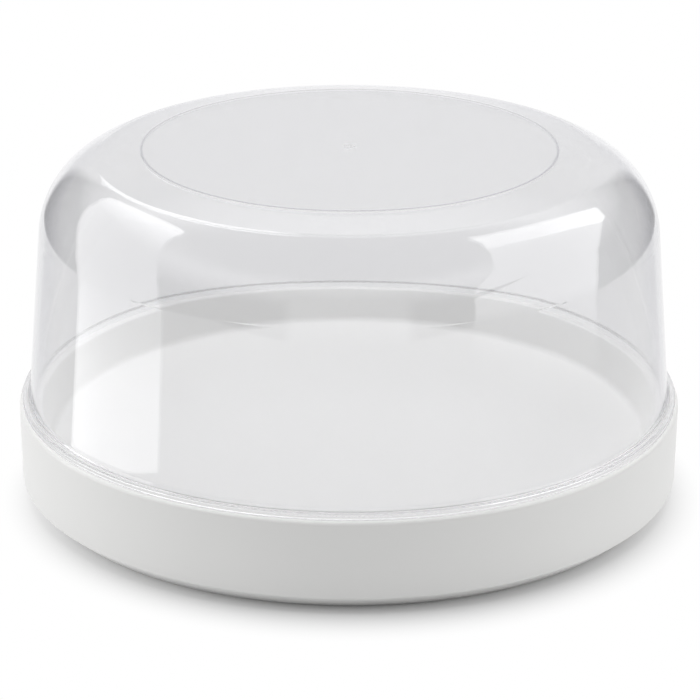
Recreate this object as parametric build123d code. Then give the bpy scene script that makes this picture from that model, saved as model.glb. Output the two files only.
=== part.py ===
from build123d import *
import math
import os

# Cake keeper: a low round serving tray and a tall clear lid that stands on its rim.
# Millimetres, +Z up, origin at the centre of the circle on which the tray stands.
# Both pieces are turned about Z, so an outline is a list of (radius, height, rounding) corners.

# Tray, outside
rim_radius = 149.7
ledge_height = 42.1
wall_lean = 0.45
foot_bevel_width = 8.3
foot_bevel_height = 6.9
foot_width = 4.5
tray_wall = 2.6

# Tray, bead on the ledge, inside the foot of the lid
bead_rise = 0.6
bead_width = 3.2

# Tray, serving well
well_lean = 4.7
serving_height = 25.1

# Tray, ribs on the underside
rib_count = 12
rib_thickness = 1.8
rib_depth = 5.0
hub_radius = 30.0
ring_rib_radius = 84.0

# Lid, flange round its foot
flange_inset = 1.4
flange_width = 3.35
flange_thickness = 2.3
bead_clearance = 0.4

# Lid, wall and shoulder
lid_wall = 2.4
lid_draft = 4.75
shoulder_round = 38.0
shoulder_slope = 18.7

# Lid, top
crease_radius = 112.6
crease_height = 154.1
ring_radius = 93.8
ring_height = 157.5
ring_step = 0.3
ring_step_width = 1.2
gate_radius = 2.3
gate_depth = 0.5
gate_nub_radius = 0.9
gate_nub_drop = 0.1

# Roundings of edges
foot_round = 0.4
foot_bevel_round = 6.0
rim_round = 2.0
bead_foot_round = 0.3
bead_round = 0.4
well_edge_round = 1.1
well_foot_round = 3.0
skin_round = 3.0
flange_edge_round = 0.5
flange_foot_round = 2.2
lid_inner_foot_round = 1.5
crease_round = 2.6
ring_round = 1.2
gate_round = 0.2

# Shortest line or arc that an outline keeps
shortest = 0.001

# Sizes of the tray's foot and the lid's foot that follow from the ones above
foot_bevel_radius = rim_radius - wall_lean
foot_radius = foot_bevel_radius - foot_bevel_width
foot_inner_radius = foot_radius - foot_width
flange_radius = rim_radius - flange_inset
flange_top = ledge_height + flange_thickness
lid_foot_radius = flange_radius - flange_width


def parallel_corners(corners, distance):
    """Corners of the line that runs at a distance to the left of an open line of corners."""
    ways = []
    for (r0, z0, _), (r1, z1, _) in zip(corners, corners[1:]):
        ways.append(Vector(r1 - r0, z1 - z0).normalized())
    shifted = []
    for (r, z, rounding), before, after in zip(corners, ways[:1] + ways, ways + ways[-1:]):
        left_before = Vector(-before.Y, before.X)
        left_after = Vector(-after.Y, after.X)
        shift = (left_before + left_after) * (distance / (1 + left_before.dot(left_after)))
        turn = before.cross(after).Z
        parallel_rounding = max(rounding - math.copysign(distance, turn), 0)
        shifted.append((r + shift.X, z + shift.Y, parallel_rounding))
    return shifted


def outline_face(corners):
    """Face in the XZ plane inside a closed line of corners, with an arc at each rounded one.

    An arc's reach is the length that it takes from the lines on either side of its corner.
    Where two arcs want more than the line between them has, both shrink in the same measure.
    """
    points = [Vector(r, z) for r, z, _ in corners]
    runs = [after - here for here, after in zip(points, points[1:] + points[:1])]
    half_turns = []
    for run_in, run_out in zip(runs[-1:] + runs[:-1], runs):
        half_turns.append(math.radians(run_in.get_angle(run_out)) / 2)
    reaches = [rounding * math.tan(half) for (_, _, rounding), half in zip(corners, half_turns)]
    shares = []
    for run, reach, next_reach in zip(runs, reaches, reaches[1:] + reaches[:1]):
        shares.append(min(1, run.length / max(reach + next_reach, shortest)))

    stretches = []
    for i, point in enumerate(points):
        reach = reaches[i] * min(shares[i - 1], shares[i])
        if reach < shortest:
            stretches.append([point])
            continue
        way_in = runs[i - 1].normalized()
        way_out = runs[i].normalized()
        radius = reach / math.tan(half_turns[i])
        inward = (way_out - way_in).normalized()
        middle = point + inward * (radius / math.cos(half_turns[i]) - radius)
        stretches.append([point - way_in * reach, middle, point + way_out * reach])

    lines = []
    for stretch, following in zip(stretches, stretches[1:] + stretches[:1]):
        if len(stretch) == 3:
            lines.append(ThreePointArc(*stretch))
        if (following[0] - stretch[-1]).length > shortest:
            lines.append(Line(stretch[-1], following[0]))
    return Plane.XZ * make_face(lines)


def turned(corners):
    """Solid of revolution about Z, from the outline of one half of its section."""
    return revolve(outline_face(corners), Axis.Z)


def lid_outer_radius(height):
    """Outside radius of the drafted wall of the lid at a height, straight from the foot up."""
    return lid_foot_radius - (height - flange_top) * math.tan(math.radians(lid_draft))


def lid_inner_radius(height):
    """Inside radius of the drafted wall of the lid at a height."""
    return lid_outer_radius(height) - lid_wall / math.cos(math.radians(lid_draft))


# Sizes of the bead and the well, which stand inside the lid's foot
bead_outer_radius = lid_inner_radius(ledge_height) - bead_clearance
bead_top = ledge_height + bead_rise
well_radius = bead_outer_radius - bead_width
well_foot_radius = well_radius - well_lean
rib_bottom = serving_height - tray_wall - rib_depth


def tray_skin():
    """Upper and outer side of the tray's skin, from the foot over the ledge to the axis."""
    return [
        (foot_inner_radius, 0, 0),
        (foot_radius, 0, foot_round),
        (foot_bevel_radius, foot_bevel_height, foot_bevel_round),
        (rim_radius, ledge_height, skin_round),
        (well_radius, ledge_height, skin_round),
        (well_foot_radius, serving_height, well_foot_round),
        (0, serving_height, 0),
    ]


def tray_shell():
    """The tray as one skin of even thickness, with the bead on top of its ledge."""
    outside = tray_skin()[:3] + [
        (rim_radius, ledge_height, rim_round),
        (bead_outer_radius, ledge_height, bead_foot_round),
        (bead_outer_radius, bead_top, bead_round),
        (well_radius, bead_top, well_edge_round),
    ] + tray_skin()[5:]
    underside = parallel_corners(tray_skin(), tray_wall)
    return turned(outside + underside[::-1])


def tray_radial_rib():
    """One rib in the XZ plane, from the hub ring out to the wall, rooted in the middle of the skin."""
    roots = parallel_corners(tray_skin(), tray_wall / 2)
    wall_foot, wall_top, well_top, well_foot, centre = roots[2:]
    share = (rib_bottom - wall_foot[1]) / (wall_top[1] - wall_foot[1])
    wall_root = wall_foot[0] + share * (wall_top[0] - wall_foot[0])
    section = Polyline(
        (hub_radius, centre[1]),
        well_foot[:2],
        well_top[:2],
        wall_top[:2],
        (wall_root, rib_bottom),
        (hub_radius, rib_bottom),
        close=True,
    )
    return extrude(Plane.XZ * make_face(section), rib_thickness / 2, both=True)


def tray_ring_rib(radius):
    """A round rib under the serving floor."""
    root = serving_height - tray_wall / 2
    inside = radius - rib_thickness / 2
    outside = radius + rib_thickness / 2
    return turned([(inside, rib_bottom, 0), (outside, rib_bottom, 0), (outside, root, 0), (inside, root, 0)])


def serving_tray():
    """White tray: raised round serving floor, low wall, ledge and bead for the lid, ribs underneath."""
    ribs = [tray_ring_rib(hub_radius), tray_ring_rib(ring_rib_radius)]
    for place in PolarLocations(0, rib_count):
        ribs.append(place * tray_radial_rib())
    return tray_shell() + ribs


def lid_shoulder_corner():
    """Radius and height at which the wall and the shoulder of the lid would meet unrounded."""
    wall_run = math.tan(math.radians(lid_draft))
    shoulder_run = 1 / math.tan(math.radians(shoulder_slope))
    wall_at_zero = lid_outer_radius(0)
    shoulder_at_zero = crease_radius + crease_height * shoulder_run
    height = (shoulder_at_zero - wall_at_zero) / (shoulder_run - wall_run)
    return lid_outer_radius(height), height


def clear_lid():
    """Clear lid: flange at the foot, drafted wall, round shoulder, shallow cone and flat centre."""
    top = ring_height + ring_step
    crown = [
        (*lid_shoulder_corner(), shoulder_round),
        (crease_radius, crease_height, crease_round),
        (ring_radius, ring_height, ring_round),
        (ring_radius - ring_step_width, top, ring_round),
        (0, top, 0),
    ]
    gate = [
        (gate_radius, top, gate_round),
        (gate_radius, top - gate_depth, gate_round),
        (gate_nub_radius, top - gate_depth, gate_round),
        (gate_nub_radius, top - gate_nub_drop, gate_round),
        (0, top - gate_nub_drop, 0),
    ]
    foot = [
        (flange_radius, ledge_height, flange_edge_round),
        (flange_radius, flange_top, flange_edge_round),
        (lid_foot_radius, flange_top, flange_foot_round),
    ]
    inside = parallel_corners([(lid_foot_radius, flange_top, 0)] + crown, lid_wall)
    inner_foot = (lid_inner_radius(ledge_height), ledge_height, lid_inner_foot_round)
    return turned(foot + crown[:-1] + gate + inside[:0:-1] + [inner_foot])


os.makedirs("parts", exist_ok=True)
export_step(serving_tray(), "parts/serving_tray.step")
export_step(clear_lid(), "parts/clear_lid.step")
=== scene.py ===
import math

import bpy
from mathutils import Matrix, Vector


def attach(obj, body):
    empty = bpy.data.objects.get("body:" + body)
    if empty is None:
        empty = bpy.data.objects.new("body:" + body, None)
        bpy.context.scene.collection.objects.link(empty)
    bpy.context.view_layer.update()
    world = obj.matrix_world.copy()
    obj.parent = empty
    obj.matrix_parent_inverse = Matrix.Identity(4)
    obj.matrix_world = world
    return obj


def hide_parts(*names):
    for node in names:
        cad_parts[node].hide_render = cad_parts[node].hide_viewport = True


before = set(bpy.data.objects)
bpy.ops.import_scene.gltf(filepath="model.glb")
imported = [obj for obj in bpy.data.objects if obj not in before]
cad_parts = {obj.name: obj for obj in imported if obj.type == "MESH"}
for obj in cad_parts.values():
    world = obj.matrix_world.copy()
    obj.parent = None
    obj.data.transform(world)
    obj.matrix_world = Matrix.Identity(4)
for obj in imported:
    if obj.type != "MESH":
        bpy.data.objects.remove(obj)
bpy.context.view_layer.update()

# Cake keeper: a white serving tray and a clear lid that stands on the ledge of its rim.
# Metres, +Z up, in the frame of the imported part. An outline is a list of (radius, height,
# rounding) corners of half a section, from the axis round the piece and back to the axis.

mm = 0.001

# Tray, outside
rim_radius = 149.7 * mm
ledge_height = 42.1 * mm
wall_lean = 0.45 * mm
foot_bevel_width = 8.3 * mm
foot_bevel_height = 6.9 * mm
foot_width = 4.5 * mm
tray_wall = 2.6 * mm

# Tray, bead on the ledge, inside the foot of the lid
bead_rise = 0.6 * mm
bead_width = 3.2 * mm

# Tray, serving well
well_lean = 4.7 * mm
serving_height = 25.1 * mm

# Tray, ribs on the underside
rib_count = 12
rib_thickness = 1.8 * mm
rib_depth = 5.0 * mm
hub_radius = 30.0 * mm
ring_rib_radius = 84.0 * mm

# Lid, flange round its foot
flange_inset = 1.4 * mm
flange_width = 3.35 * mm
flange_thickness = 2.3 * mm
bead_clearance = 0.4 * mm

# Lid, wall and shoulder
lid_wall = 2.4 * mm
lid_draft = math.radians(4.75)
shoulder_round = 38.0 * mm
shoulder_slope = math.radians(18.7)

# Lid, top
crease_radius = 112.6 * mm
crease_height = 154.1 * mm
ring_radius = 93.8 * mm
ring_height = 157.5 * mm
ring_step = 0.3 * mm
ring_step_width = 1.2 * mm
# Radius and width of a painted dark line along the ring, the painted shade of its step
ring_line_radius = 92.3 * mm
ring_line_width = 1.0 * mm
gate_radius = 2.3 * mm
gate_depth = 0.5 * mm
gate_nub_radius = 0.9 * mm
gate_nub_drop = 0.1 * mm

# Roundings of edges. The foot bevel's is smaller than in the solids, for a crisp edge, and the
# crease's is larger, for a broad highlight; neither moves the surface by more than 0.5 mm.
foot_round = 0.4 * mm
foot_bevel_round = 1.5 * mm
rim_round = 2.0 * mm
bead_foot_round = 0.3 * mm
bead_round = 0.4 * mm
well_edge_round = 1.1 * mm
well_foot_round = 3.0 * mm
skin_round = 3.0 * mm
rib_round = 0.2 * mm
flange_edge_round = 0.5 * mm
flange_foot_round = 2.2 * mm
lid_inner_foot_round = 1.5 * mm
crease_round = 17.0 * mm
ring_round = 1.2 * mm
gate_round = 0.2 * mm

# Gap between the flange and the ledge, so that the two skins don't coincide
seat_gap = 0.05 * mm

# Fineness of the meshes. Arcs up to small_round in radius take the coarser step.
tray_steps = 400
lid_steps = 640
arc_step = math.radians(6)
small_arc_step = math.radians(25)
small_round = 0.35 * mm
fewest_arc_steps = 3

# Shortest line or arc that an outline keeps. A straight run over support_run in length gets an
# extra point at a small distance from each end.
shortest = 0.001 * mm
support = 0.12 * mm
support_run = 4 * support

# Plastics: refraction, and detail of the noise that clouds the colour, bends and grains the skin
tray_ior = 1.49
lid_ior = 1.52
cloud_detail = 3.0
wave_detail = 0.0
grain_detail = 2.0
noise_mean = 0.5

# Lid: colour of a painted dark line along its ring, the painted shade of the ring's step; skin
# seen at a slant is darker between two facing values, partly the plastic's tint over a longer
# path and partly painted shade of its dark outline; what it lets through of the lamps, and the
# glow that ends light after many layers
painted_ring_shade_colour = (0.28, 0.28, 0.33, 1)
slant_facing = (0.66, 0.85)
slant_tint_and_shade_colour = (0.56, 0.56, 0.60, 1)
lamp_filter = (0.90, 0.90, 0.905, 1)
last_depth = 5.5
last_glow = 0.8

# Light, and half a bounce, which tells none from one or more
white_light = (1, 1, 1, 1)
half_bounce = 0.5

# Floor: its size, its colour, and where it turns into the white background
floor_reach = 0.72
floor_steps = 96
floor_colour = (0.57, 0.57, 0.57, 1)
floor_roughness = 0.9
fade_centre = (0.002, -0.016, 0)
fade_range = (0.121, 0.161)

# Light of the room on matt surfaces, and what gloss mirrors of it: from low to high, from
# there to overhead, and in the middle between the sides
room_light = 0.08
gloss_heights = (0.30, 0.65)
gloss_room = (0.40, 1.75)
overhead_heights = (0.70, 0.84)
gloss_overhead = (1.75, 1.15)
side_edge = (0.33, 0.45)
gloss_middle = 1.08

# Light cards: distance from the axis, and the slope from which a rising ray counts as steep
card_distance = 0.255
steep_slope = 0.55

# Corners of the light cards, as (y, z) places
left_card = [
    (-0.186, 0.0), (-0.020, 0.0), (-0.010, 0.114), (0.007, 0.152), (0.035, 0.180),
    (0.140, 0.272), (0.230, 0.340), (0.244, 0.374), (0.230, 0.430), (0.196, 0.480),
    (0.137, 0.519), (0.091, 0.513), (0.041, 0.466), (-0.047, 0.358), (-0.085, 0.309),
    (-0.122, 0.256), (-0.150, 0.210), (-0.168, 0.156), (-0.178, 0.090),
]
left_strip = [
    (0.33, 0.33), (0.50, 0.36), (0.56, 0.56), (0.90, 1.05), (2.40, 2.80), (1.60, 2.50),
    (0.55, 0.95), (0.38, 0.60),
]
right_card = [
    (-0.337, 0.0), (-0.333, 0.080), (-0.325, 0.200), (-0.300, 0.273), (-0.262, 0.300),
    (-0.200, 0.339), (-0.166, 0.388), (-0.126, 0.440), (-0.063, 0.518), (0.048, 0.241),
    (0.005, 0.218), (-0.035, 0.189), (-0.060, 0.143), (-0.066, 0.096), (-0.070, 0.0),
]
right_strip = [
    (-0.063, 0.519), (0.049, 0.241), (0.070, 0.245), (0.133, 0.294), (0.153, 0.425),
    (0.177, 0.787),
]

# Radiance of the light cards, as (height, radiance) steps upward
left_card_glow = [(0.04, 2.6), (0.09, 1.9), (0.28, 1.9), (0.44, 3.6)]
left_strip_glow = [(0.33, 1.6), (0.60, 4.0), (1.50, 4.0), (2.80, 2.0)]
right_card_glow = [(0.04, 1.0), (0.12, 2.2), (0.50, 2.5)]
right_strip_glow = [(0.24, 3.8), (0.40, 3.4)]

# Softboxes: name, place, aim, width, height and radiance
softboxes = [
    ("left softbox", (-1.0, -0.30, 0.50), (0, 0, 0.05), 0.9, 1.0, 2.0),
    ("right softbox", (1.0, -0.45, 0.50), (0, 0, 0.05), 0.9, 1.0, 1.7),
    ("top softbox", (0, 0.2, 1.3), (0, 0, 0), 1.2, 1.0, 5.0),
]

# Camera: lens and sensor in its own millimetres, how far it looks down, roll and place
lens = 157.62
sensor_width = 36.0
look_down = math.radians(20.747)
roll = math.radians(0.176)
camera_place = (0.00043, -1.30303, 0.55468)

# Sizes that follow from the ones above
foot_bevel_radius = rim_radius - wall_lean
foot_radius = foot_bevel_radius - foot_bevel_width
foot_inner_radius = foot_radius - foot_width
flange_radius = rim_radius - flange_inset
flange_top = ledge_height + flange_thickness
lid_foot_radius = flange_radius - flange_width


def lid_outer_radius(height):
    """Outside radius of the drafted wall of the lid at a height, straight from the foot up."""
    return lid_foot_radius - (height - flange_top) * math.tan(lid_draft)


def lid_inner_radius(height):
    """Inside radius of the drafted wall of the lid at a height."""
    return lid_outer_radius(height) - lid_wall / math.cos(lid_draft)


# Sizes that follow from the lid's wall, and the lower edge of the ribs
bead_outer_radius = lid_inner_radius(ledge_height) - bead_clearance
bead_top = ledge_height + bead_rise
well_radius = bead_outer_radius - bead_width
well_foot_radius = well_radius - well_lean
rib_bottom = serving_height - tray_wall - rib_depth


def parallel_corners(corners, distance):
    """Corners of the line that runs at a distance to the left of an open line of corners."""
    points = [Vector((r, z)) for r, z, _ in corners]
    ways = [(after - here).normalized() for here, after in zip(points, points[1:])]
    shifted = []
    for corner, point, before, after in zip(corners, points, ways[:1] + ways, ways + ways[-1:]):
        lefts = Vector((-before.y, before.x)) + Vector((-after.y, after.x))
        shift = lefts * (distance / (1 + before.dot(after)))
        turn = before.x * after.y - before.y * after.x
        rounding = max(corner[2] - math.copysign(distance, turn), 0)
        shifted.append((*(point + shift), rounding))
    return shifted


def corner_arc(corner, way_in, way_out, reach):
    """Points of the arc that rounds a corner, from its reach before it to its reach after it."""
    turn = math.atan2(way_in.x * way_out.y - way_in.y * way_out.x, way_in.dot(way_out))
    radius = reach / math.tan(abs(turn) / 2)
    start = corner - way_in * reach
    to_centre = Vector((-way_in.y, way_in.x)) * math.copysign(radius, turn)
    step_turn = arc_step if radius > small_round else small_arc_step
    steps = max(fewest_arc_steps, math.ceil(abs(turn) / step_turn))
    points = []
    for step in range(steps + 1):
        spoke = Matrix.Rotation(turn * step / steps, 2) @ to_centre
        points.append(start + to_centre - spoke)
    return points


def outline_points(corners):
    """Points along an open line of corners, with an arc at each rounded one.

    Points a little inside the ends of a straight run keep it flat in shading.
    """
    points = [Vector((r, z)) for r, z, _ in corners]
    runs = [after - here for here, after in zip(points, points[1:])]
    half_turns = [0] + [run.angle(after) / 2 for run, after in zip(runs, runs[1:])] + [0]
    reaches = [corner[2] * math.tan(half) for corner, half in zip(corners, half_turns)]
    shares = []
    for run, reach, next_reach in zip(runs, reaches, reaches[1:]):
        shares.append(min(1, run.length / max(reach + next_reach, shortest)))

    stretches = [[points[0]]]
    for i in range(1, len(points) - 1):
        reach = reaches[i] * min(shares[i - 1], shares[i])
        if reach < shortest:
            stretches.append([points[i]])
        else:
            way_in = runs[i - 1].normalized()
            way_out = runs[i].normalized()
            stretches.append(corner_arc(points[i], way_in, way_out, reach))
    stretches.append([points[-1]])

    line = []
    for stretch, following in zip(stretches, stretches[1:]):
        line += stretch
        straight = following[0] - stretch[-1]
        if straight.length > support_run:
            inset = straight.normalized() * support
            line += [stretch[-1] + inset, following[0] - inset]
        elif straight.length < shortest:
            line.pop()
    return line + stretches[-1]


def tray_skin():
    """Upper and outer side of the tray's skin, from the foot over the ledge to the axis."""
    return [
        (foot_inner_radius, 0, 0),
        (foot_radius, 0, foot_round),
        (foot_bevel_radius, foot_bevel_height, foot_bevel_round),
        (rim_radius, ledge_height, skin_round),
        (well_radius, ledge_height, skin_round),
        (well_foot_radius, serving_height, well_foot_round),
        (0, serving_height, 0),
    ]


def tray_outline():
    """The tray as one skin of even thickness, with the bead on top of its ledge."""
    outside = tray_skin()[:3] + [
        (rim_radius, ledge_height, rim_round),
        (bead_outer_radius, ledge_height, bead_foot_round),
        (bead_outer_radius, bead_top, bead_round),
        (well_radius, bead_top, well_edge_round),
    ] + tray_skin()[5:]
    underside = parallel_corners(tray_skin(), tray_wall)
    return underside[::-1] + outside


def lid_outline():
    """The lid, from the axis down the inside to its foot, then up the outside to its gate mark."""
    top = ring_height + ring_step
    wall_run = math.tan(lid_draft)
    shoulder_run = 1 / math.tan(shoulder_slope)
    shoulder_at_zero = crease_radius + crease_height * shoulder_run
    shoulder_height = (shoulder_at_zero - lid_outer_radius(0)) / (shoulder_run - wall_run)
    crown = [
        (lid_outer_radius(shoulder_height), shoulder_height, shoulder_round),
        (crease_radius, crease_height, crease_round),
        (ring_radius, ring_height, ring_round),
        (ring_radius - ring_step_width, top, ring_round),
        (0, top, 0),
    ]
    inside = parallel_corners([(lid_foot_radius, flange_top, 0)] + crown, lid_wall)
    return inside[:0:-1] + [
        (lid_inner_radius(ledge_height), ledge_height + seat_gap, lid_inner_foot_round),
        (flange_radius, ledge_height + seat_gap, flange_edge_round),
        (flange_radius, flange_top, flange_edge_round),
        (lid_foot_radius, flange_top, flange_foot_round),
    ] + crown[:-1] + [
        (gate_radius, top, gate_round),
        (gate_radius, top - gate_depth, gate_round),
        (gate_nub_radius, top - gate_depth, gate_round),
        (gate_nub_radius, top - gate_nub_drop, gate_round),
        (0, top - gate_nub_drop, 0),
    ]


def new_tree(name, kind, inputs, outputs):
    """An empty node tree with labelled inputs and outputs, and the nodes that stand for them."""
    tree = bpy.data.node_groups.new(name, kind)
    for side, sockets in (("INPUT", inputs), ("OUTPUT", outputs)):
        for label, socket_kind in sockets.items():
            tree.interface.new_socket(label, in_out=side, socket_type="NodeSocket" + socket_kind)
    return tree, tree.nodes.new("NodeGroupInput"), tree.nodes.new("NodeGroupOutput")


def add(tree, kind, *sources, **settings):
    """A node with its settings, whose inputs in order take a socket, a value, or None to stay."""
    node = tree.nodes.new(kind)
    for name, value in settings.items():
        setattr(node, name, value)
    enabled = [socket for socket in node.inputs if socket.enabled]
    for socket, source in zip(enabled, sources):
        if isinstance(source, bpy.types.NodeSocket):
            tree.links.new(source, socket)
        elif source is not None:
            socket.default_value = source
    return node


def result(tree, kind, *sources, **settings):
    """The first output in use of a node that is added to a tree."""
    node = add(tree, kind, *sources, **settings)
    return next(socket for socket in node.outputs if socket.enabled)


def maths(tree, operation, *sources):
    """The result of a maths node on sockets and numbers."""
    return result(tree, "ShaderNodeMath", *sources, operation=operation)


def ranged(tree, value, *limits, **settings):
    """A value carried from one range to another, or to the one from 0 to 1, and held inside it."""
    return result(tree, "ShaderNodeMapRange", value, *limits, **settings)


def mixed_colour(tree, share, first, second):
    """A mix of two colours, by a share of the second."""
    return result(tree, "ShaderNodeMix", share, first, second, data_type="RGBA")


def mixed_surface(tree, share, first, second):
    """Makes a material's surface a mix of two shaders, by a share of the second."""
    both = result(tree, "ShaderNodeMixShader", share, first, second)
    tree.links.new(both, tree.nodes["Material Output"].inputs["Surface"])


def turning_tree():
    """Geometry Nodes: an outline in the XZ plane turned about Z into a closed, smooth skin."""
    tree, given, made = new_tree(
        "turned about Z",
        "GeometryNodeTree",
        {"Outline": "Geometry", "Steps": "Int", "Material": "Material"},
        {"Skin": "Geometry"},
    )
    outline, steps, material = given.outputs[:3]
    rows = add(tree, "GeometryNodeAttributeDomainSize", outline).outputs["Point Count"]
    columns = maths(tree, "ADD", steps, 1.0)
    grid = add(tree, "GeometryNodeMeshGrid", 1.0, 1.0, rows, columns).outputs["Mesh"]
    index = result(tree, "GeometryNodeInputIndex")
    row = maths(tree, "FLOOR", maths(tree, "DIVIDE", index, columns))
    column = maths(tree, "MODULO", index, columns)
    place = result(tree, "GeometryNodeInputPosition")
    point = result(tree, "GeometryNodeSampleIndex", outline, place, row, data_type="FLOAT_VECTOR")
    angle = maths(tree, "MULTIPLY", maths(tree, "DIVIDE", column, steps), math.tau)
    placed = result(tree, "ShaderNodeVectorRotate", point, None, angle, rotation_type="Z_AXIS")
    turned = result(tree, "GeometryNodeSetPosition", grid, None, placed)
    closed = result(tree, "GeometryNodeMergeByDistance", turned, None, shortest)
    outward = result(tree, "GeometryNodeFlipFaces", closed)
    smooth = result(tree, "GeometryNodeSetShadeSmooth", outward)
    real = result(tree, "GeometryNodeRealizeInstances", smooth)
    coloured = result(tree, "GeometryNodeSetMaterial", real, None, material)
    tree.links.new(coloured, made.inputs["Skin"])
    return tree


def spokes_tree():
    """Geometry Nodes: copies of one rib set evenly about Z."""
    tree, given, made = new_tree(
        "spokes about Z",
        "GeometryNodeTree",
        {"Rib": "Geometry", "Count": "Int", "Material": "Material"},
        {"Ribs": "Geometry"},
    )
    rib, count, material = given.outputs[:3]
    places = result(tree, "GeometryNodePoints", count)
    share = maths(tree, "DIVIDE", result(tree, "GeometryNodeInputIndex"), count)
    angle = maths(tree, "MULTIPLY", share, math.tau)
    turn = result(tree, "ShaderNodeCombineXYZ", 0.0, 0.0, angle)
    copies = add(tree, "GeometryNodeInstanceOnPoints", places)
    tree.links.new(rib, copies.inputs["Instance"])
    tree.links.new(turn, copies.inputs["Rotation"])
    real = result(tree, "GeometryNodeRealizeInstances", copies.outputs["Instances"])
    coloured = result(tree, "GeometryNodeSetMaterial", real, None, material)
    tree.links.new(coloured, made.inputs["Ribs"])
    return tree


def grown_piece(name, points, edges, faces, tree, values):
    """A piece whose plain mesh is what a Geometry Nodes tree makes of a few points."""
    mesh = bpy.data.meshes.new(name)
    mesh.from_pydata(points, edges, faces)
    piece = bpy.data.objects.new(name, mesh)
    bpy.context.collection.objects.link(piece)
    modifier = piece.modifiers.new("grow", "NODES")
    modifier.node_group = tree
    for label, value in values.items():
        modifier[tree.interface.items_tree[label].identifier] = value
    evaluated = piece.evaluated_get(bpy.context.evaluated_depsgraph_get())
    grown = bpy.data.meshes.new_from_object(evaluated)
    piece.modifiers.clear()
    piece.data = grown
    grown.name = name
    return piece


def turned_piece(name, corners, steps, tree, material):
    """A piece turned about Z from its outline, in so many steps."""
    points = [(r, 0, z) for r, z in outline_points(corners)]
    edges = [(i, i + 1) for i in range(len(points) - 1)]
    values = {"Steps": steps, "Material": material}
    return grown_piece(name, points, edges, [], tree, values)


def radial_ribs(tree, material):
    """The ribs under the serving floor, from the hub ring out to the wall."""
    roots = parallel_corners(tray_skin(), tray_wall / 2)
    wall_foot, wall_top, well_top, well_foot, centre = roots[2:]
    share = (rib_bottom - wall_foot[1]) / (wall_top[1] - wall_foot[1])
    wall_root = wall_foot[0] + share * (wall_top[0] - wall_foot[0])
    side = [
        (hub_radius, rib_bottom),
        (wall_root, rib_bottom),
        wall_top[:2],
        well_top[:2],
        well_foot[:2],
        (hub_radius, centre[1]),
    ]
    near = [(r, -rib_thickness / 2, z) for r, z in side]
    far = [(r, rib_thickness / 2, z) for r, z in side]
    count = len(side)
    faces = [tuple(range(count)), tuple(range(2 * count - 1, count - 1, -1))]
    for i in range(count):
        after = (i + 1) % count
        faces.append((i, i + count, after + count, after))
    values = {"Count": rib_count, "Material": material}
    return grown_piece("tray_radial_ribs", near + far, [], faces, tree, values)


def ring_rib(name, radius, tree, material):
    """A round rib under the serving floor. Its closed outline starts and ends at one point."""
    root = serving_height - tray_wall / 2
    inside = radius - rib_thickness / 2
    outside = radius + rib_thickness / 2
    corners = [
        (inside, root, 0),
        (inside, rib_bottom, rib_round),
        (outside, rib_bottom, rib_round),
        (outside, root, 0),
        (inside, root, 0),
    ]
    return turned_piece(name, corners, tray_steps, tree, material)


def moulded_finish():
    """Shader nodes shared by both plastics: faint clouding of colour and gloss, and fine grain."""
    tree, given, made = new_tree(
        "moulded finish",
        "ShaderNodeTree",
        {
            "Colour": "Color",
            "Clouded Colour": "Color",
            "Cloud Size": "Float",
            "Roughness": "Float",
            "Roughness Spread": "Float",
            "Grain Size": "Float",
            "Grain Depth": "Float",
            "Wave Size": "Float",
            "Wave Depth": "Float",
        },
        {"Colour": "Color", "Roughness": "Float", "Normal": "Vector"},
    )
    sockets = given.outputs
    place = add(tree, "ShaderNodeTexCoord").outputs["Object"]

    def noise(size, detail):
        """Noise whose features are about as large as the size that the named socket gives."""
        texture = add(tree, "ShaderNodeTexNoise")
        tree.links.new(place, texture.inputs["Vector"])
        tree.links.new(maths(tree, "DIVIDE", 1.0, sockets[size]), texture.inputs["Scale"])
        texture.inputs["Detail"].default_value = detail
        return texture.outputs["Fac"]

    cloud = noise("Cloud Size", cloud_detail)
    colour = mixed_colour(tree, cloud, sockets["Colour"], sockets["Clouded Colour"])
    centred = maths(tree, "SUBTRACT", cloud, noise_mean)
    spread = maths(tree, "MULTIPLY", centred, sockets["Roughness Spread"])
    rough = maths(tree, "ADD", spread, sockets["Roughness"])

    wave = add(tree, "ShaderNodeBump")
    tree.links.new(sockets["Wave Depth"], wave.inputs["Distance"])
    tree.links.new(noise("Wave Size", wave_detail), wave.inputs["Height"])
    grain = add(tree, "ShaderNodeBump")
    tree.links.new(sockets["Grain Depth"], grain.inputs["Distance"])
    tree.links.new(noise("Grain Size", grain_detail), grain.inputs["Height"])
    tree.links.new(wave.outputs["Normal"], grain.inputs["Normal"])

    tree.links.new(colour, made.inputs["Colour"])
    tree.links.new(rough, made.inputs["Roughness"])
    tree.links.new(grain.outputs["Normal"], made.inputs["Normal"])
    return tree


def new_material(name):
    """A material, its node tree and its shader."""
    material = bpy.data.materials.new(name)
    material.use_nodes = True
    return material, material.node_tree, material.node_tree.nodes["Principled BSDF"]


def finished(tree, shader, finish, values):
    """The outputs of the shared finish, placed in a material with its own values and linked."""
    group = tree.nodes.new("ShaderNodeGroup")
    group.node_tree = finish
    for label, value in values.items():
        group.inputs[label].default_value = value
    tree.links.new(group.outputs["Colour"], shader.inputs["Base Color"])
    tree.links.new(group.outputs["Roughness"], shader.inputs["Roughness"])
    tree.links.new(group.outputs["Normal"], shader.inputs["Normal"])
    return group.outputs


def white_plastic(finish):
    """Satin white moulded plastic of the tray."""
    material, tree, shader = new_material("satin white plastic")
    finished(tree, shader, finish, {
        "Colour": (0.83, 0.83, 0.82, 1),
        "Clouded Colour": (0.80, 0.80, 0.79, 1),
        "Cloud Size": 60 * mm,
        "Roughness": 0.34,
        "Roughness Spread": 0.10,
        "Grain Size": 0.5 * mm,
        "Grain Depth": 0.004 * mm,
        "Wave Size": 35 * mm,
        "Wave Depth": 0.03 * mm,
    })
    shader.inputs["IOR"].default_value = tray_ior
    return material


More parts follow.
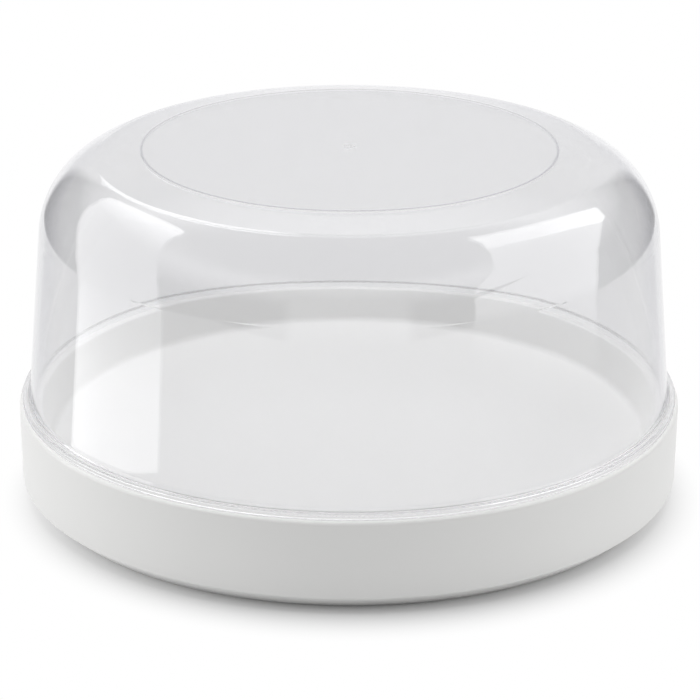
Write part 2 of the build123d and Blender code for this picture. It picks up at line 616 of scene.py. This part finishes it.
def clear_plastic(finish):
    """Polished clear moulded plastic of the lid, which lets the lamps through to the tray.

    A fine line along the ring is darker, painted shade of the ring's step. Skin seen at a slant
    is darker, partly the plastic's tint over a longer path and partly painted shade of its dark
    outline. Light that has passed many layers ends in a glow, which stands for the layers that
    it would still pass.
    """
    material, tree, shader = new_material("polished clear plastic")
    moulded = finished(tree, shader, finish, {
        "Colour": (0.825, 0.825, 0.835, 1),
        "Clouded Colour": (0.815, 0.815, 0.825, 1),
        "Cloud Size": 90 * mm,
        "Roughness": 0.025,
        "Roughness Spread": 0.015,
        "Grain Size": 1.5 * mm,
        "Grain Depth": 0.0,
        "Wave Size": 45 * mm,
        "Wave Depth": 0.02 * mm,
    })
    shader.inputs["IOR"].default_value = lid_ior
    shader.inputs["Transmission Weight"].default_value = 1.0

    # Painted shade: a dark line along the ring, on the top's outer skin, in place of the shade of
    # the ring's step
    place = add(tree, "ShaderNodeTexCoord").outputs["Object"]
    level = result(tree, "ShaderNodeVectorMath", place, (1, 1, 0), operation="MULTIPLY")
    radius = result(tree, "ShaderNodeVectorMath", level, operation="LENGTH")
    off = maths(tree, "ABSOLUTE", maths(tree, "SUBTRACT", radius, ring_line_radius))
    near = ranged(tree, off, 0.0, ring_line_width, 1.0, 0.0, interpolation_type="SMOOTHSTEP")
    height = add(tree, "ShaderNodeSeparateXYZ", place).outputs["Z"]
    outside = maths(tree, "GREATER_THAN", height, ring_height - lid_wall / 2)
    line = maths(tree, "MULTIPLY", near, outside)
    ring_shaded = mixed_colour(tree, line, moulded["Colour"], painted_ring_shade_colour)
    # Darker at a slant: partly the plastic's tint over a longer path, partly painted shade of the
    # dark outline
    slant = ranged(tree, add(tree, "ShaderNodeLayerWeight").outputs["Facing"], *slant_facing)
    slant_tinted_and_shaded = mixed_colour(tree, slant, ring_shaded, slant_tint_and_shade_colour)
    tree.links.new(slant_tinted_and_shaded, shader.inputs["Base Color"])

    light_path = add(tree, "ShaderNodeLightPath").outputs
    clear = result(tree, "ShaderNodeBsdfTransparent", lamp_filter)
    skin = result(
        tree, "ShaderNodeMixShader", light_path["Is Shadow Ray"], shader.outputs[0], clear
    )
    deep = maths(tree, "GREATER_THAN", light_path["Ray Depth"], last_depth)
    mixed_surface(tree, deep, skin, result(tree, "ShaderNodeEmission", white_light, last_glow))
    return material


def flat_face(name, corners, material):
    """One flat face of a material, for the stage."""
    mesh = bpy.data.meshes.new(name)
    mesh.from_pydata(corners, [], [tuple(range(len(corners)))])
    mesh.materials.append(material)
    face = bpy.data.objects.new(name, mesh)
    bpy.context.collection.objects.link(face)
    return face


def pale_floor():
    """A pale round floor that keeps the object's shadow and turns into the white background."""
    material, tree, shader = new_material("pale floor")
    shader.inputs["Base Color"].default_value = floor_colour
    shader.inputs["Roughness"].default_value = floor_roughness
    shader.inputs["Specular IOR Level"].default_value = 0.0
    place = add(tree, "ShaderNodeNewGeometry").outputs["Position"]
    distance = result(tree, "ShaderNodeVectorMath", place, fade_centre, operation="DISTANCE")
    far = ranged(tree, distance, *fade_range, interpolation_type="SMOOTHSTEP")
    white = result(tree, "ShaderNodeEmission", white_light, 1.0)
    mixed_surface(tree, far, shader.outputs[0], white)

    angles = [math.tau * step / floor_steps for step in range(floor_steps)]
    corners = [(floor_reach * math.cos(a), floor_reach * math.sin(a), 0) for a in angles]
    floor = flat_face("floor", corners, material)


def light_card(name, side, corners, glow):
    """An upright glowing card beside the object, for the lid's wall and shoulder to mirror.

    Its corners are (y, z) places, and its glow is a list of (height, radiance) steps upward.
    Only light that was mirrored, or that comes from a matt surface, finds it, not what comes
    straight through the lid. Rays that rise gently from the lid's top don't find it either.
    """
    material, tree, _ = new_material(name)
    place = add(tree, "ShaderNodeTexCoord").outputs["Object"]
    height = add(tree, "ShaderNodeSeparateXYZ", place).outputs["Z"]
    strength = glow[0][1]
    for (low, start), (high, end) in zip(glow, glow[1:]):
        rise = ranged(tree, height, low, high, 0.0, end - start)
        strength = maths(tree, "ADD", rise, strength)
    light = result(tree, "ShaderNodeEmission", white_light, strength)

    incoming = add(tree, "ShaderNodeNewGeometry").outputs["Incoming"]
    back = add(tree, "ShaderNodeSeparateXYZ", incoming).outputs
    fall = maths(tree, "DIVIDE", back["Z"], maths(tree, "ABSOLUTE", back["X"]))
    start_height = maths(tree, "MULTIPLY_ADD", fall, abs(side) - crease_radius, height)
    from_below = maths(tree, "LESS_THAN", start_height, ring_height)
    falling = maths(tree, "GREATER_THAN", fall, 0.0)
    steep = maths(tree, "LESS_THAN", fall, -steep_slope)
    from_side = maths(tree, "MAXIMUM", maths(tree, "MAXIMUM", from_below, falling), steep)

    light_path = add(tree, "ShaderNodeLightPath").outputs
    bounces = maths(tree, "ADD", light_path["Glossy Depth"], light_path["Diffuse Depth"])
    bounced = maths(tree, "GREATER_THAN", bounces, half_bounce)
    seen = maths(tree, "MULTIPLY", from_side, bounced)
    mixed_surface(tree, seen, result(tree, "ShaderNodeBsdfTransparent"), light)

    card = flat_face(name, [(side, y, z) for y, z in corners], material)
    card.visible_camera = False
    card.visible_diffuse = False
    card.visible_shadow = False


def studio_world():
    """White background for the camera, dim light on matt surfaces, and the room in gloss.

    In gloss the room grows brighter upward, dimmer again overhead, and it is dark low at the
    sides. Straight through the lid, the white floor goes on past its edge.
    """
    world = bpy.data.worlds.new("studio")
    bpy.context.scene.world = world
    world.use_nodes = True
    tree = world.node_tree
    direction = add(tree, "ShaderNodeTexCoord").outputs["Generated"]
    way = add(tree, "ShaderNodeSeparateXYZ", direction).outputs
    rising = ranged(tree, way["Z"], *gloss_heights, *gloss_room)
    overhead = ranged(tree, way["Z"], *overhead_heights, *gloss_overhead)
    above = maths(tree, "MINIMUM", rising, overhead)
    sideways = maths(tree, "ABSOLUTE", way["X"])
    middle = ranged(tree, sideways, *side_edge, gloss_middle, 0.0)
    mirrored = maths(tree, "MAXIMUM", above, middle)

    light_path = add(tree, "ShaderNodeLightPath").outputs
    straight = maths(tree, "LESS_THAN", light_path["Glossy Depth"], half_bounce)
    falling = maths(tree, "LESS_THAN", way["Z"], 0.0)
    floor_beyond = maths(tree, "MULTIPLY", straight, falling)
    through = result(tree, "ShaderNodeMix", floor_beyond, mirrored, 1.0)

    glossy, passing = light_path["Is Glossy Ray"], light_path["Is Transmission Ray"]
    gloss = maths(tree, "MAXIMUM", glossy, passing)
    unscattered = maths(tree, "LESS_THAN", light_path["Diffuse Depth"], half_bounce)
    seen = maths(tree, "MULTIPLY", gloss, unscattered)
    room = result(tree, "ShaderNodeMix", seen, room_light, through)
    strength = result(tree, "ShaderNodeMix", light_path["Is Camera Ray"], room, 1.0)
    background = tree.nodes["Background"]
    background.inputs["Color"].default_value = white_light
    tree.links.new(strength, background.inputs["Strength"])


def softbox(name, place, aim, width, height, radiance):
    """A square lamp that faces its aim and isn't seen by the camera or in gloss."""
    lamp = bpy.data.lights.new(name, "AREA")
    lamp.shape = "RECTANGLE"
    lamp.size = width
    lamp.size_y = height
    lamp.energy = radiance * math.pi * width * height
    holder = bpy.data.objects.new(name, lamp)
    bpy.context.collection.objects.link(holder)
    holder.location = place
    holder.rotation_euler = (Vector(aim) - Vector(place)).to_track_quat("-Z", "Y").to_euler()
    holder.visible_camera = False
    holder.visible_glossy = False
    holder.visible_transmission = False


def photo_camera():
    """The camera at the photograph's place, with its lens and its small roll."""
    camera = bpy.data.cameras.new("camera")
    camera.lens = lens
    camera.sensor_width = sensor_width
    holder = bpy.data.objects.new("camera", camera)
    bpy.context.collection.objects.link(holder)
    tilt = Matrix.Rotation(math.pi / 2 - look_down, 4, "X") @ Matrix.Rotation(roll, 4, "Z")
    holder.matrix_world = Matrix.Translation(camera_place) @ tilt
    bpy.context.scene.camera = holder


bpy.context.scene.view_settings.view_transform = "Standard"
finish = moulded_finish()
white = white_plastic(finish)
clear = clear_plastic(finish)
turning = turning_tree()

tray = turned_piece("serving_tray_shell", tray_outline(), tray_steps, turning, white)
hub_rib = ring_rib("tray_hub_rib", hub_radius, turning, white)
middle_rib = ring_rib("tray_middle_rib", ring_rib_radius, turning, white)
spokes = radial_ribs(spokes_tree(), white)
for piece in (tray, hub_rib, middle_rib, spokes):
    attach(piece, "tray")
    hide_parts("serving_tray")

lid = turned_piece("clear_lid_shell", lid_outline(), lid_steps, turning, clear)
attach(lid, "lid")
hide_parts("clear_lid")

pale_floor()
studio_world()
for values in softboxes:
    softbox(*values)
light_card("left light card", -card_distance, left_card, left_card_glow)
light_card("left light strip", -card_distance, left_strip, left_strip_glow)
light_card("right light card", card_distance, right_card, right_card_glow)
light_card("right light strip", card_distance, right_strip, right_strip_glow)
photo_camera()
